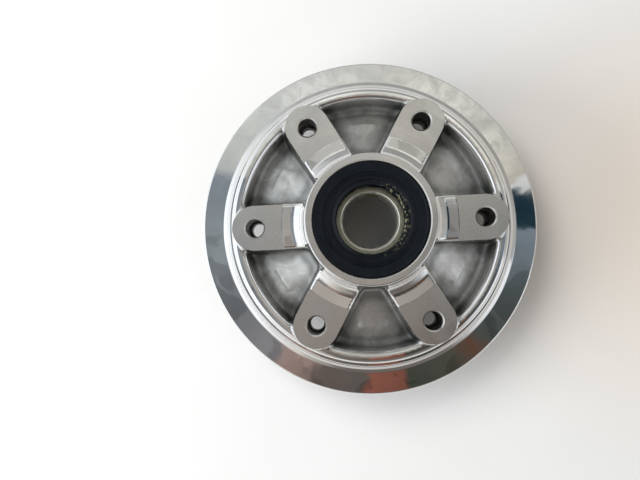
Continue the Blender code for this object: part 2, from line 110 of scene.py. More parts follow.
# Arms, bolt holes and vanes.
ARM_COUNT = 6
BOLT_CIRCLE_R = 65 * MM
ARM_HALF_WIDTH = 12.75 * MM
ARM_DRAFT = 0.07
ARM_ROOT_R = 20 * MM
ARM_TIP_R = 95 * MM
ARM_EDGE = 1.6 * MM
LUG_STOCK = 0.3 * MM
LUG_EXTRA_STOCK = 1.4 * MM
PAD_STOCK = 2.2 * MM
FACING_R = PAD_R + 0.45 * MM
BOLT_HOLE_R = 5.25 * MM
BOLT_HOLE_CHAMFER = 0.8 * MM
PILOT_HOLE_R = 4 * MM
BOLT_HOLE_DEPTH = 13 * MM
VANE_HALF_WIDTH = 6 * MM
VANE_INNER_R = 43 * MM
VANE_OUTER_R = 84 * MM
VANE_PLAN_TAPER = 0.024
VANE_DRAFT = 0.03

# Bearing.
BALL_COUNT = 9
BALL_R = 9.525 / 2 * MM
BALL_CIRCLE_R = 23 * MM
SHOULDER_OFFSET = 4.25 * MM
CLEARANCE = 0.3 * MM
CAGE_THICK = 0.9 * MM
CAGE_INNER_R = 20.8 * MM
CAGE_OUTER_R = 25.2 * MM
BEARING_BORE_R = 15 * MM
BEARING_OUTER_R = 31 * MM
RIVET_HOLE_R = 1 * MM

# Oil seal and its spring, and the grooves.
SEAL_SKIN = 0.8 * MM
SEAL_RIB_RADII = (25 * MM, 23.9 * MM, 22.8 * MM)
SEAL_RIB_HALF = 0.35 * MM
GARTER_R = GARTER_HIGH.x - 0.75 * MM
GARTER_Z = (GARTER_LOW.z + GARTER_HIGH.z) / 2
O_RING_GROOVE_HALF = 1.9 * MM
O_RING_GROOVE_DEPTH = 2.3 * MM

VOXEL = 1.12 * MM
LATHE_STEPS = 240
ARC_STEP = math.radians(11)
SKIN_ARC_STEP = math.radians(4)

# The fine grid on which distances to the casting's sections are kept.
TABLE_STEP = 0.1 * MM
TABLE_R = 102 * MM
TABLE_LOW = -6 * MM
TABLE_HIGH = 84 * MM
NORMAL_REACH = 0.45 * MM
SKIN_TOLERANCE = 0.15 * MM


# ---- Outlines


def rounded(corners, arc_step=ARC_STEP):
    """A closed outline from (x, y, fillet radius) corners, each fillet drawn as an arc."""
    points = []
    for i, (x, y, radius) in enumerate(corners):
        corner = Vector((x, y))
        if not radius:
            points.append(corner)
            continue
        back = (Vector(corners[i - 1][:2]) - corner).normalized()
        ahead = (Vector(corners[(i + 1) % len(corners)][:2]) - corner).normalized()
        half = back.angle(ahead) / 2
        centre = corner + (back + ahead).normalized() * radius / math.sin(half)
        first = corner + back * radius / math.tan(half) - centre
        last = corner + ahead * radius / math.tan(half) - centre
        turn = -first.angle_signed(last)
        steps = max(2, math.ceil(abs(turn) / arc_step))
        for k in range(steps + 1):
            cos, sin = math.cos(turn * k / steps), math.sin(turn * k / steps)
            points.append(centre + Vector((first.x * cos - first.y * sin, first.x * sin + first.y * cos)))
    return points


def arc(centre, radius, start, end, steps):
    """Points on an arc from start to end degrees."""
    angles = [math.radians(start + (end - start) * k / steps) for k in range(steps + 1)]
    return [Vector(centre) + radius * Vector((math.cos(a), math.sin(a))) for a in angles]


def spaced(count, offset=0.0):
    return [math.tau * (i + offset) / count for i in range(count)]


def polar(radius, angle, z=0.0):
    return Vector((radius * math.cos(angle), radius * math.sin(angle), z))


def boss_wall_r(z):
    """Radius of the boss's drafted wall at a height."""
    return BOSS_FOOT_R + (BOSS_R - BOSS_FOOT_R) * (z - FLOOR_INNER_Z) / (BOSS_TOP_Z - FLOOR_INNER_Z)


def boss_ring_outline():
    """Section of the boss's top ring, which stands a hair proud of the wall below it."""
    low = BOSS_TOP_Z - BOSS_RING_HEIGHT
    return rounded([
        (BOSS_R - BOSS_RING_WIDTH, low, 0),
        (boss_wall_r(low) + TURNED_PROUD, low, 0),
        (BOSS_R + TURNED_PROUD, BOSS_TOP_Z, 0.9 * MM),
        (BOSS_R - BOSS_RING_WIDTH, BOSS_TOP_Z, 0),
    ])


def core_outline():
    """Section of the casting between two arms, without its bores and without the flange beyond the ring."""
    top = BOSS_TOP_Z - 0.8 * MM
    return rounded([
        (PAST_AXIS, 0, 0),
        (SPIGOT_R, 0, SPIGOT_FILLET),
        (SPIGOT_R, RECESS_Z, RECESS_FILLET),
        (RECESS_OUTER_R - OVERLAP, RECESS_Z, RECESS_FILLET),
        (RECESS_OUTER_R, PLATE_REAR_Z, RECESS_EDGE),
        (WEB_OUTER_R, PLATE_REAR_Z, 0),
        (WEB_OUTER_R, PLATE_REAR_Z + OVERLAP, 0),
        (RING_CROWN_R - 0.7 * MM, PLATE_REAR_Z + OVERLAP, 0),
        (RING_CROWN_R - 1 * MM, RING_TOP_Z, 2.4 * MM),
        (POCKET_OUTER_R, RING_TOP_Z, POCKET_EDGE),
        (POCKET_FLOOR_R, FLOOR_OUTER_Z, POCKET_FILLET),
        (BOSS_FOOT_R, FLOOR_INNER_Z, BOSS_FILLET),
        (boss_wall_r(top), top, 1.5 * MM),
        (PAST_AXIS, top, 0),
    ], SKIN_ARC_STEP)


def arm_outline():
    """Section along an arm before its lug face is machined."""
    return rounded([
        (ARM_ROOT_R, FLOOR_INNER_Z - 4 * MM, 0),
        (RECESS_OUTER_R, RECESS_Z + OVERLAP, 0),
        (RECESS_OUTER_R + OVERLAP, FLOOR_OUTER_Z - 1 * MM, 0),
        (ARM_TIP_R, FLOOR_OUTER_Z - 1 * MM, 0),
        (ARM_TIP_R, PAD_Z, 0),
        (BOSS_FOOT_R + 0.6 * MM, PAD_Z, PAD_SWEEP_FILLET),
        (BOSS_R - 0.7 * MM, PAD_Z + PAD_SWEEP_HEIGHT, 0),
        (ARM_ROOT_R, PAD_Z + PAD_SWEEP_HEIGHT, 0),
    ], SKIN_ARC_STEP)


def vane_outline():
    """Section along a vane."""
    return rounded([
        (VANE_INNER_R, VANE_REAR_Z, 2 * MM),
        (VANE_OUTER_R, VANE_REAR_Z, 3 * MM),
        (VANE_OUTER_R, PLATE_REAR_Z + OVERLAP, 0),
        (RECESS_OUTER_R + OVERLAP, PLATE_REAR_Z + OVERLAP, 0),
        (RECESS_OUTER_R, RECESS_Z + OVERLAP, 0),
        (VANE_INNER_R, RECESS_Z + OVERLAP, 0),
    ], SKIN_ARC_STEP)


def flange_outline():
    """Section of the flange, from inside the ring to the rim."""
    inside_r = RING_CROWN_R - 3.8 * MM
    return rounded([
        (inside_r, PLATE_REAR_Z + 1.5 * MM, 0),
        (88 * MM, PLATE_REAR_Z + 1.5 * MM, 0),
        (WEB_OUTER_R - 0.1 * MM, PLATE_REAR_Z, 0),
        (LIP_INNER_R, PLATE_REAR_Z, 0.5 * MM),
        (LIP_INNER_R + 0.4 * MM, FLANGE_REAR_Z, 0.6 * MM),
        (FLANGE_R, FLANGE_REAR_Z, 1.2 * MM),
        (FLANGE_R, FLANGE_FRONT_Z, 1 * MM),
        (RING_STEP_R + 0.5 * MM, FLANGE_FRONT_Z, STEP_FILLET),
        (RING_STEP_R, RING_STEP_Z, 0.5 * MM),
        (RING_CROWN_R + 0.3 * MM, RING_STEP_Z, 0.4 * MM),
        (RING_CROWN_R, RING_TOP_Z + FACED_PROUD, CROWN_FILLET),
        (inside_r, RING_TOP_Z + FACED_PROUD, 0),
    ])


def bore_outline():
    """Section of everything turned out of the casting along the hub axis."""
    chamfer = 0.7 * MM
    above = 2 * MM
    shoulder_z = INNER_LOW.z - CLEARANCE
    groove_r = CIRCLIP_HIGH.y + CLEARANCE
    groove_low, groove_high = CIRCLIP_LOW.z - CLEARANCE, CIRCLIP_HIGH.z + CLEARANCE
    corners = [
        (-1 * MM, -above),
        (SPIGOT_BORE_R + 1 * MM + above, -above),
        (SPIGOT_BORE_R, 1 * MM),
        (SPIGOT_BORE_R, shoulder_z - 0.6 * MM),
        (SPIGOT_BORE_R + 0.6 * MM, shoulder_z),
        (HOUSING_R, shoulder_z),
        (HOUSING_R, groove_low),
        (groove_r, groove_low),
        (groove_r, groove_high),
        (HOUSING_R, groove_high),
        (HOUSING_R, BOSS_TOP_Z - chamfer),
        (HOUSING_R + chamfer + above, BOSS_TOP_Z + above),
        (-1 * MM, BOSS_TOP_Z + above),
    ]
    return [Vector((max(x, 0.0), z)) for x, z in corners]


# ---- Meshes


def mesh_object(name, points, faces, sharp=32):
    """An object from arrays of points and of quads or triangles, shaded smooth up to the sharp angle."""
    mesh = bpy.data.meshes.new(name)
    mesh.from_pydata(points, [], faces)
    mesh.validate()
    return shaded(name, mesh, sharp)


def shaded(name, mesh, sharp=32):
    mesh.shade_smooth()
    mesh.set_sharp_from_angle(angle=math.radians(sharp))
    return placed(name, mesh)


def placed(name, data):
    """A new object of this data, in the scene."""
    obj = bpy.data.objects.new(name, data)
    bpy.context.scene.collection.objects.link(obj)
    return obj


def swept(name, rings, sharp=32):
    """A tube through rings of points, its last ring joined to its first."""
    bm = bmesh.new()
    rings = [[bm.verts.new(point) for point in ring] for ring in rings]
    for i, ring in enumerate(rings):
        before = rings[i - 1]
        for k in range(len(ring)):
            bm.faces.new((before[k - 1], before[k], ring[k], ring[k - 1]))
    return finished(name, bm, sharp)


def turned(name, outline, steps=LATHE_STEPS, sharp=32):
    """A ring, or a solid where the outline reaches the axis, turned about Z."""
    return swept(name, [[polar(p.x, angle, p.y) for p in outline] for angle in spaced(steps)], sharp)


def finished(name, bm, sharp=32):
    bmesh.ops.remove_doubles(bm, verts=bm.verts, dist=0.0005 * MM)
    bmesh.ops.dissolve_degenerate(bm, edges=bm.edges, dist=0.0002 * MM)
    bmesh.ops.recalc_face_normals(bm, faces=bm.faces)
    mesh = bpy.data.meshes.new(name)
    bm.to_mesh(mesh)
    bm.free()
    return shaded(name, mesh, sharp)


def rolled_edges(obj, width):
    """Rounds the sharp edges of a stamped piece."""
    bevel = obj.modifiers.new("rolled_edges", "BEVEL")
    bevel.width = width
    bevel.segments = 2
    bevel.limit_method = "ANGLE"
    bevel.angle_limit = math.radians(50)


def read_all(items, name, width=1, kind=np.float32):
    """One property of every vertex, edge, face or corner, as an array with a row for each."""
    flat = np.empty(len(items) * width, kind)
    items.foreach_get(name, flat)
    if kind is np.float32:
        flat = flat.astype(float)
    return flat.reshape(-1, width) if width > 1 else flat


def off_nearest(x, y, count):
    """Angle of each point from the nearest of count even spokes, the first of them along X."""
    pitch = math.tau / count
    return (np.arctan2(y, x) + pitch / 2) % pitch - pitch / 2


def carve(obj, operation, tool):
    """Applies a Boolean of obj with tool, and removes the tool."""
    modifier = obj.modifiers.new("carve", "BOOLEAN")
    modifier.operation = operation
    modifier.object = tool
    modifier.solver = "MANIFOLD"
    graph = bpy.context.evaluated_depsgraph_get()
    carved = bpy.data.meshes.new_from_object(obj.evaluated_get(graph))
    obj.modifiers.remove(modifier)
    old = obj.data
    obj.data = carved
    bpy.data.meshes.remove(old)
    bpy.data.objects.remove(tool, do_unlink=True)


# ---- Casting as a distance field


def outline_distance(outline, r, z):
    """Distance in the section plane to a closed outline, negative inside it."""
    nearest = np.full(r.shape, np.inf)
    inside = np.zeros(r.shape, bool)
    for i, end in enumerate(outline):
        start = outline[i - 1]
        step_r, step_z = end.x - start.x, end.y - start.y
        from_r, from_z = r - start.x, z - start.y
        share = np.clip((from_r * step_r + from_z * step_z) / (step_r**2 + step_z**2), 0, 1)
        nearest = np.minimum(nearest, (from_r - share * step_r) ** 2 + (from_z - share * step_z) ** 2)
        if step_z:
            crossing = start.x + from_z * step_r / step_z
            inside ^= ((start.y > z) != (end.y > z)) & (r < crossing)
    return np.where(inside, -1, 1) * np.sqrt(nearest)


def smoothstep(low, high, value):
    share = np.clip((value - low) / (high - low), 0, 1)
    return share * share * (3 - 2 * share)


def smooth_min(a, b, width):
    """The nearer of two distances, blended into a fillet where they are within width of each other."""
    blend = np.maximum(width - np.abs(a - b), 0) / width
    return np.minimum(a, b) - blend * blend * width / 4


def smooth_max(a, b, width):
    return -smooth_min(-a, -b, width)


def casting_distance(x, y, z, core, arm_side, vane_side):
    """Distance to the casting's skin from its section distances, before anything is machined."""
    r = np.hypot(x, y)
    off_arm = np.abs(off_nearest(x, y, ARM_COUNT))
    along, across = r * np.cos(off_arm), r * np.sin(off_arm)
    half = ARM_HALF_WIDTH + ARM_DRAFT * np.maximum(LUG_FACE_Z - z, 0)
    plan = np.hypot(np.maximum(along - BOLT_CIRCLE_R, 0), across) - half
    arm = smooth_max(plan, arm_side, ARM_EDGE)
    off_vane = math.pi / ARM_COUNT - off_arm
    along, across = r * np.cos(off_vane), r * np.sin(off_vane)
    half = VANE_HALF_WIDTH + VANE_PLAN_TAPER * (along - BOLT_CIRCLE_R) - VANE_DRAFT * (PLATE_REAR_Z - z)
    vane = smooth_max(across - half, vane_side, 2 * MM)
    fillet = (3.2 - 1.8 * smoothstep(POCKET_OUTER_R, POCKET_OUTER_R + 4 * MM, r)) * MM
    skin = smooth_min(smooth_min(core, arm, fillet), vane, 3.5 * MM)
    stock = LUG_STOCK + LUG_EXTRA_STOCK * smoothstep(PAD_R + 3 * MM, PAD_R + 6 * MM, r)
    rough_cut = np.maximum(PAD_R + PAD_STOCK - r, LUG_FACE_Z + stock - z)
    edge = (0.7 + smoothstep(LUG_FACE_Z + 0.8 * MM, PAD_Z - 1 * MM, z)) * MM
    return smooth_max(skin, -rough_cut, edge)


def distance_table(outline):
    """Distances to an outline at every point of the fine grid."""
    r, z = np.meshgrid(
        np.arange(0, TABLE_R, TABLE_STEP, dtype=np.float32),
        np.arange(TABLE_LOW, TABLE_HIGH, TABLE_STEP, dtype=np.float32),
        indexing="ij",
    )
    return outline_distance(outline, r, z).astype(np.float32)


def read_table(table, r, z):
    place_r = np.clip(r / TABLE_STEP, 0, table.shape[0] - 1.001)
    place_z = np.clip((z - TABLE_LOW) / TABLE_STEP, 0, table.shape[1] - 1.001)
    i, k = place_r.astype(int), place_z.astype(int)
    part_r, part_z = place_r - i, place_z - k
    near = table[i, k] * (1 - part_z) + table[i, k + 1] * part_z
    far = table[i + 1, k] * (1 - part_z) + table[i + 1, k + 1] * part_z
    return near * (1 - part_r) + far * part_r


SECTIONS = tuple(distance_table(outline) for outline in (core_outline(), arm_outline(), vane_outline()))


def skin_distance(points):
    """Distance of each point to the casting's skin."""
    x, y, z = points.T
    r = np.hypot(x, y)
    return casting_distance(x, y, z, *(read_table(table, r, z) for table in SECTIONS))


def skin_normals(points):
    """Direction in which the distance to the skin grows fastest, at each point."""
    slopes = []
    for axis in np.eye(3) * NORMAL_REACH:
        slopes.append(skin_distance(points + axis) - skin_distance(points - axis))
    slope = np.stack(slopes, axis=1)
    return slope / np.maximum(np.linalg.norm(slope, axis=1, keepdims=True), 1e-12)


def skin_mesh():
    """Points and quads of the casting's skin, on the exact surface."""
    reach, low, high = 93 * MM, -3 * MM, BOSS_TOP_Z + 3 * MM
    side = np.arange(-reach, reach + VOXEL, VOXEL)
    levels = np.arange(low, high + VOXEL, VOXEL)
    places = np.stack(np.meshgrid(side, side, levels, indexing="ij"), axis=-1)
    field = skin_distance(places.reshape(-1, 3)).reshape(places.shape[:3])
    grid = openvdb.FloatGrid(background=float(10 * VOXEL))
    grid.copyFromArray(np.clip(field, -4 * VOXEL, 4 * VOXEL).astype(np.float32))
    points, quads = grid.convertToQuads(isovalue=0.0)
    points = places[0, 0, 0] + points.astype(float) * VOXEL
    for _ in range(3):
        points -= skin_normals(points) * np.clip(skin_distance(points), -0.5 * MM, 0.5 * MM)[:, None]
    return points, quads


def bolt_hole_tool():
    """The six stepped and chamfered holes."""
    over = 1.5 * MM
    levels = [
        (BOLT_HOLE_R + BOLT_HOLE_CHAMFER + over, LUG_FACE_Z + over),
        (BOLT_HOLE_R, LUG_FACE_Z - BOLT_HOLE_CHAMFER),
        (BOLT_HOLE_R, LUG_FACE_Z - BOLT_HOLE_DEPTH),
        (PILOT_HOLE_R, LUG_FACE_Z - BOLT_HOLE_DEPTH - 1.5 * MM),
        (PILOT_HOLE_R, PLATE_REAR_Z + 0.5 * MM),
        (PILOT_HOLE_R + 0.5 * MM + over, PLATE_REAR_Z - over),
    ]
    bm = bmesh.new()
    for angle in spaced(ARM_COUNT):
        centre = BOLT_CIRCLE_R * polar(1, angle)
        rings = []
        for radius, z in levels:
            circle = arc((0, 0), radius, 0, 354, 59)
            rings.append([bm.verts.new(centre + Vector((p.x, p.y, z))) for p in circle])
        for upper, lower in zip(rings, rings[1:]):
            for i in range(len(upper)):
                bm.faces.new((upper[i - 1], upper[i], lower[i], lower[i - 1]))
        bm.faces.new(rings[0])
        bm.faces.new(rings[-1])
    return finished("bolt_holes", bm)


def lug_face_tool():
    """The facing cut over the lugs."""
    outer = FLANGE_R + 5 * MM
    corners = [(FACING_R, LUG_FACE_Z), (outer, LUG_FACE_Z), (outer, BOSS_TOP_Z), (FACING_R, BOSS_TOP_Z)]
    return turned("lug_facing", [Vector(p) for p in corners])


def o_ring_groove_tool():
    middle = (O_RING_LOW.z + O_RING_HIGH.z) / 2
    low, high = middle - O_RING_GROOVE_HALF, middle + O_RING_GROOVE_HALF
    floor_r, outer = SPIGOT_R - O_RING_GROOVE_DEPTH, SPIGOT_R + OVERLAP
    corners = [(floor_r, low), (outer, low), (outer, high), (floor_r, high)]
    return turned("o_ring_groove", [Vector(p) for p in corners])


def cast_share(points):
    """How far each point is from polished (0) to as cast (1)."""
    x, y, z = points.T
    r = np.hypot(x, y)
    in_pocket = smoothstep(0.5 * MM, 5 * MM, RING_TOP_Z - 0.5 * MM - z)
    in_pocket *= smoothstep(BOSS_R, BOSS_R + 4 * MM, r)
    in_pocket *= smoothstep(POCKET_OUTER_R + 1 * MM, POCKET_OUTER_R - 1 * MM, r)
    behind = smoothstep(PLATE_REAR_Z + 1 * MM, PLATE_REAR_Z + 0.2 * MM, z)
    behind *= smoothstep(FLANGE_R - 0.5 * MM, FLANGE_R - 1.5 * MM, r)
    behind = np.maximum(behind, (z < RECESS_Z + 0.5 * MM) * (r < RECESS_OUTER_R))
    behind = behind * smoothstep(1 * MM, 2 * MM, z)
    return np.maximum(in_pocket, behind)


def roughen(points):
    """Moves the as-cast skin in and out by a little, as a sand or die skin is."""
    normals = skin_normals(points)
    share = cast_share(points)
    moved = points.copy()
    for i in np.flatnonzero(share > 0.05):
        p = Vector(points[i])
        wave = 0.10 * noise.noise(p * 90) + 0.05 * noise.noise(p * 260)
        moved[i] += normals[i] * wave * share[i] * MM
    return moved


def corner_shade_share(points, edges):
    """How closed in each point is, from 0 in the open to 1 in a tight corner, plus a band at the boss's foot:
    the mask for the painted shade and polish residue in the casting's corners.
    """
    normals = skin_normals(points)
    closed = np.zeros(len(points))
    tilts = [Vector((0, 0, 0))] + [polar(1, angle) * 1.3 for angle in spaced(8)]
    for tilt in tilts:
        side = np.array(tilt) - normals * (normals @ np.array(tilt))[:, None]
        aim = normals + side
        aim /= np.linalg.norm(aim, axis=1, keepdims=True)
        for reach in (2.5 * MM, 5 * MM, 9 * MM):
            free = skin_distance(points + aim * reach)
            closed += np.clip(1.25 - free / reach, 0, 1) ** 2 / (3 * len(tilts))
    first, second = edges.T
    counts = np.bincount(edges.ravel(), minlength=len(points)) + 1
    for _ in range(14):
        sums = np.bincount(first, closed[second], len(points))
        sums += np.bincount(second, closed[first], len(points))
        closed = (closed + sums) / counts
    r, z = np.hypot(points[:, 0], points[:, 1]), points[:, 2]
    # Painted shade: a darker band at the foot of the boss, where the pocket floor meets it.
    boss_foot_shade = smoothstep(BOSS_FOOT_R + 11 * MM, BOSS_FOOT_R + 1 * MM, r) * smoothstep(PAD_Z, RING_TOP_Z, z)
    return closed + 0.33 * boss_foot_shade


def store(mesh, name, values):
    layer = mesh.attributes.new(name, "FLOAT", "POINT")
    layer.data.foreach_set("value", np.asarray(values, np.float32))


def true_normals(mesh, points):
    """Gives the corners of the uncut skin and of level faces the exact normal of the surface there."""
    normals = skin_normals(points)
    on_skin = np.abs(skin_distance(points)) < SKIN_TOLERANCE
    centres = read_all(mesh.polygons, "center", 3)
    faces_up = read_all(mesh.polygons, "normal", 3)
    uncut = np.abs(skin_distance(centres)) < SKIN_TOLERANCE
    uncut &= (skin_normals(centres) * faces_up).sum(axis=1) > 0.9
    r, z = np.hypot(centres[:, 0], centres[:, 1]), centres[:, 2]
    for outline in (flange_outline(), boss_ring_outline()):
        uncut &= np.abs(outline_distance(outline, r, z)) > 0.02 * MM
    lug_plane = (np.abs(z - LUG_FACE_Z) < 0.03 * MM) & (faces_up[:, 2] > 0.99)
    flat = lug_plane | (~uncut & (np.abs(faces_up[:, 2]) > 0.99995))
    owner = np.repeat(np.arange(len(centres)), read_all(mesh.polygons, "loop_total", kind=np.int32))
    corner = read_all(mesh.loops, "vertex_index", kind=np.int32)
    wanted = normals[corner]
    agree = (wanted * faces_up[owner]).sum(axis=1) > 0.7
    wanted[~(uncut[owner] & on_skin[corner] & agree)] = 0
    level = np.zeros(len(points))
    level[corner[flat[owner]]] = np.sign(faces_up[owner[flat[owner]], 2])
    in_plane = level[corner] * faces_up[owner, 2] > 0.95
    wanted[in_plane] = 0
    wanted[in_plane, 2] = level[corner[in_plane]]
    mesh.normals_split_custom_set(wanted)


def make_casting():
    points, quads = skin_mesh()
    casting = mesh_object("casting", roughen(points), quads)
    carve(casting, "DIFFERENCE", lug_face_tool())
    carve(casting, "UNION", turned("flange", flange_outline()))
    carve(casting, "UNION", turned("boss_ring", boss_ring_outline()))
    carve(casting, "DIFFERENCE", turned("bores", bore_outline()))
    carve(casting, "DIFFERENCE", bolt_hole_tool())
    carve(casting, "DIFFERENCE", o_ring_groove_tool())
    mesh = casting.data
    mesh.shade_smooth()
    mesh.set_sharp_from_angle(angle=math.radians(28))
    where = read_all(mesh.vertices, "co", 3)
    store(mesh, "cast", cast_share(where))
    # The corner mask, by which shade and polish residue are painted dark into the corners.
    store(mesh, "corner_residue_and_shade", corner_shade_share(where, read_all(mesh.edges, "vertices", 2, np.int32)))
    true_normals(mesh, where)
    casting.name = "casting_body"
    return casting


# ---- Bearing and seals


def race_arc(side, steps=20):
    """Groove that the balls run in, of the outer ring (1) or of the inner ring (-1)."""
    radius = BALL_R + CLEARANCE
    reach = math.degrees(math.acos(SHOULDER_OFFSET / radius))
    middle = 0 if side > 0 else 180
    groove = arc((BALL_CIRCLE_R, BEARING_Z), radius, middle - reach, middle + reach, steps)
    return [(p.x, p.y, 0) for p in groove]


def make_inner_ring():
    shoulder = BALL_CIRCLE_R - SHOULDER_OFFSET
    bevel = 0.9 * MM
    rear, front = INNER_LOW.z, INNER_HIGH.z
    return turned("inner_ring", rounded([
        (shoulder, rear, 0.3 * MM),
        (BEARING_BORE_R + bevel, rear, 0.25 * MM),
        (BEARING_BORE_R, rear + bevel, 0.25 * MM),
        (BEARING_BORE_R, front - bevel, 0.5 * MM),
        (BEARING_BORE_R + bevel, front, 0.7 * MM),
        (shoulder, front, 0.3 * MM),
        *race_arc(-1),
    ]))


def make_outer_ring():
    shoulder = BALL_CIRCLE_R + SHOULDER_OFFSET
    rear, front = INNER_LOW.z, INNER_HIGH.z
    return turned("outer_ring", rounded([
        (shoulder, front, 0.3 * MM),
        (BEARING_OUTER_R, front, 0.9 * MM),
        (BEARING_OUTER_R, rear, 0.9 * MM),
        (shoulder, rear, 0.3 * MM),
        *race_arc(1),
    ]))


def pins(name, places, radius, z, length):
    """Upright pins, as a tool, at (distance from the hub axis, angle) places."""
    bm = bmesh.new()
    for reach, angle in places:
        ends = {"radius1": radius, "radius2": radius, "depth": length}
        made = bmesh.ops.create_cone(bm, cap_ends=True, segments=24, **ends)
        bmesh.ops.translate(bm, verts=made["verts"], vec=polar(reach, angle, z))
    return finished(name, bm)


def make_cage_half(name, side):
    """One wavy half of the ball cage, with its rivet holes."""
    pocket_inner = BALL_R + CLEARANCE
    pocket_outer = pocket_inner + CAGE_THICK
    split = CLEARANCE / 2
    flats = (split, split + CAGE_THICK)
    pockets = (pocket_inner, pocket_outer)
    steps = 36
    rings = []
    for k in range(BALL_COUNT * steps):
        angle = math.tau * k / (BALL_COUNT * steps)
        off = ((k + steps // 2) % steps - steps // 2) / steps * math.tau / BALL_COUNT
        s = off * BALL_CIRCLE_R
        z = [max(flat, math.sqrt(max(0.0, pocket**2 - s**2))) for flat, pocket in zip(flats, pockets)]
        section = [(CAGE_INNER_R, z[0]), (CAGE_OUTER_R, z[0]), (CAGE_OUTER_R, z[1]), (CAGE_INNER_R, z[1])]
        rings.append([polar(r, angle, BEARING_Z + side * height) for r, height in section])
    cage = swept(name, rings)
    holes = [(BALL_CIRCLE_R, angle) for angle in spaced(BALL_COUNT, 0.5)]
    carve(cage, "DIFFERENCE", pins("rivet_holes", holes, RIVET_HOLE_R, BEARING_Z, 6 * MM))
    rolled_edges(cage, 0.18 * MM)
    return cage


def make_rivet(name, angle):
    grip = CLEARANCE / 2 + CAGE_THICK + CLEARANCE
    head_r, shank_r, height = 1.4 * MM, 0.7 * MM, 0.6 * MM
    top = grip + height
    half = [(0, top, 0), (head_r, top, 0.35 * MM), (head_r, grip, 0.1 * MM), (shank_r, grip, 0)]
    outline = rounded(half + [(x, -z, r) for x, z, r in reversed(half)])
    rivet = turned(name, outline, 24)
    rivet.location = polar(BALL_CIRCLE_R, angle, BEARING_Z)
    return rivet


def make_ball(name, angle):
    bm = bmesh.new()
    bmesh.ops.create_uvsphere(bm, u_segments=48, v_segments=32, radius=BALL_R)
    ball = finished(name, bm, 180)
    ball.location = polar(BALL_CIRCLE_R, angle, BEARING_Z)
    return ball


def make_seal_rubber():
    """Rubber of the oil seal: skin, faced rim, fine moulded ribs, dust lip, main lip and spring groove."""
    outer, top = BEARING_OUTER_R, SEAL_TOP_Z
    corners = [
        (outer - SEAL_SKIN, SEAL_REAR_Z, 0.1 * MM),
        (outer, SEAL_REAR_Z, 0.3 * MM),
        (outer, top, 0.45 * MM),
        (29.8 * MM, top, 0.1 * MM),
        (29.5 * MM, top - 0.25 * MM, 0.1 * MM),
        (25.7 * MM, top - 0.3 * MM, 0.15 * MM),
    ]
    for rib_r in SEAL_RIB_RADII:
        corners += [
            (rib_r + SEAL_RIB_HALF, top - 0.7 * MM, 0.12 * MM),
            (rib_r, top - 0.3 * MM, 0.15 * MM),
            (rib_r - SEAL_RIB_HALF, top - 0.7 * MM, 0.12 * MM),
        ]
    corners += [
        (21.9 * MM, top - 0.6 * MM, 0.2 * MM),
        (20.9 * MM, top - 1.5 * MM, 0.3 * MM),
        (20.0 * MM, top - 1.3 * MM, 0.2 * MM),
        (18.8 * MM, top - 0.6 * MM, 0.2 * MM),
        (18.6 * MM, top - 0.9 * MM, 0.12 * MM),
        (19.3 * MM, top - 2.0 * MM, 0.3 * MM),
        (18.3 * MM, GARTER_Z + 0.1 * MM, 0.15 * MM),
        (19.1 * MM, SEAL_REAR_Z + 0.9 * MM, 0.2 * MM),
    ]
    corners += [(p.x, p.y, 0) for p in arc((GARTER_R, GARTER_Z), 1.05 * MM, 245, 100, 12)]
    corners += [
        (21.7 * MM, top - 2.4 * MM, 0.2 * MM),
        (21.7 * MM, top - 1.05 * MM, 0.1 * MM),
        (outer - SEAL_SKIN, top - 1.05 * MM, 0.1 * MM),
    ]
    return turned("oil_seal", rounded(corners))


def make_seal_case():
    """The seal's steel stiffening, an L in section."""
    outer, inner, thick = 29.9 * MM, 22 * MM, 0.8 * MM
    top = SEAL_TOP_Z - 1.3 * MM
    return turned("oil_seal_case", rounded([
        (outer, SEAL_REAR_Z, 0.15 * MM),
        (outer, top, 0.5 * MM),
        (inner, top, 0.15 * MM),
        (inner, top - thick, 0.15 * MM),
        (outer - thick, top - thick, 0.3 * MM),
        (outer - thick, SEAL_REAR_Z, 0.15 * MM),
    ]))


def make_garter():
    """The lip's spring: a close-wound coil bent into a ring."""
    coil_r, wire_r = 0.55 * MM, 0.15 * MM
    turns, per_turn = 150, 8
    curve = bpy.data.curves.new("lip_spring", "CURVE")
    curve.dimensions = "3D"
    curve.bevel_depth = wire_r
    curve.bevel_resolution = 1
    spline = curve.splines.new("POLY")
    spline.points.add(turns * per_turn - 1)
    for k, point in enumerate(spline.points):
        around = math.tau * k / (turns * per_turn)
        coil = math.tau * k / per_turn
        r = GARTER_R + coil_r * math.cos(coil)
        point.co = (*polar(r, around, GARTER_Z + coil_r * math.sin(coil)), 1)
    spline.use_cyclic_u = True
    return placed("lip_spring", curve)


def make_circlip():
    """Internal retaining ring with two eyes."""
    low, high = CIRCLIP_LOW.z, CIRCLIP_HIGH.z
    outer_r, inner_r = 32.3 * MM, 28.8 * MM
    half_gap, ear_end = 14, 23
    ear_r = inner_r - 3 * MM
    outline = [
        *arc((0, 0), outer_r, half_gap, 360 - half_gap, 160),
        *arc((0, 0), ear_r, 360 - half_gap, 360 - ear_end, 4),
        *arc((0, 0), inner_r, 360 - ear_end - 4, ear_end + 4, 140),
        *arc((0, 0), ear_r, ear_end, half_gap, 4),
    ]
    bm = bmesh.new()
    face = bm.faces.new([bm.verts.new((p.x, p.y, low)) for p in outline])
    grown = bmesh.ops.extrude_face_region(bm, geom=[face])["geom"]
    moved = [v for v in grown if isinstance(v, bmesh.types.BMVert)]
    bmesh.ops.translate(bm, verts=moved, vec=(0, 0, high - low))
    circlip = finished("retaining_ring", bm)
    eye_angle = math.radians((half_gap + ear_end) / 2)
    eyes = [(ear_r + 2.4 * MM, turn * eye_angle) for turn in (1, -1)]
    carve(circlip, "DIFFERENCE", pins("eyes", eyes, 1.25 * MM, (low + high) / 2, 8 * MM))
    rolled_edges(circlip, 0.15 * MM)
    return circlip


